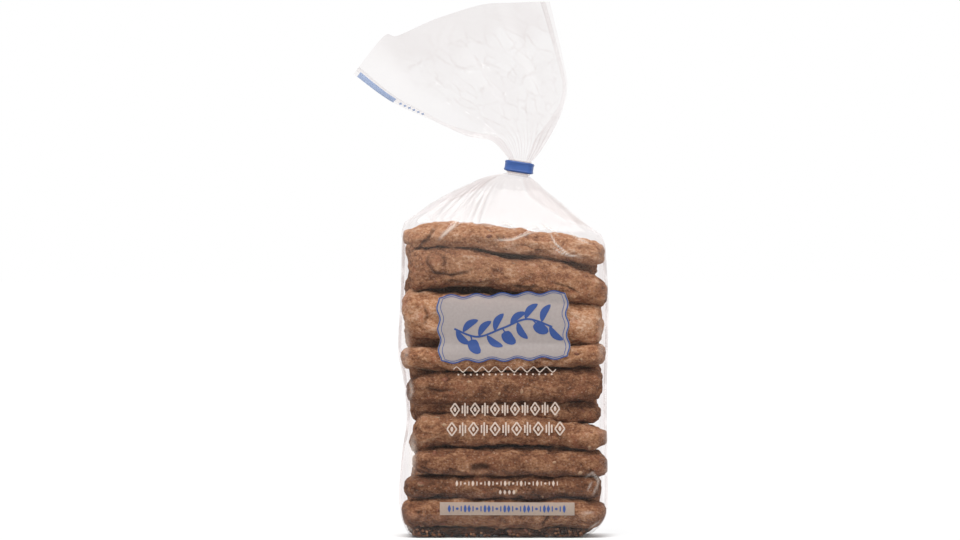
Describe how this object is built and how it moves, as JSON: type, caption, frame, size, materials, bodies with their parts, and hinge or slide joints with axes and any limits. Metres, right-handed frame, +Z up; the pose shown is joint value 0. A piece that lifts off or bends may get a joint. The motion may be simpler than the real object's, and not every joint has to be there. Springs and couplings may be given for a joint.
{
  "type": "bag of biscotti",
  "caption": "Upright clear block-bottom bag filled with almond biscuit sticks, gathered to a neck, closed with a flat clip band and fanned out to its mouth above it.",
  "frame": {"origin": "on the flat base, under the middle of the biscuits", "axes": "+Z up to the bag's mouth, -Y the front with the printed panel, +X to the right as the front is seen"},
  "size_m": [0.1468, 0.0561, 0.3084],
  "materials": {
    "film": "clear polypropylene film, crinkled",
    "clip": "satin plastic strip over two wires",
    "biscuit": "dry baked dough, craggy, stands in for food",
    "almond": "chopped almond with its skin, stands in for food",
    "white_print": "thin translucent white ink",
    "blue_print": "flat blue ink"
  },
  "bodies": {
    "root": {"bag": "film", "clip_band": "clip"}
  },
  "joints": []
}
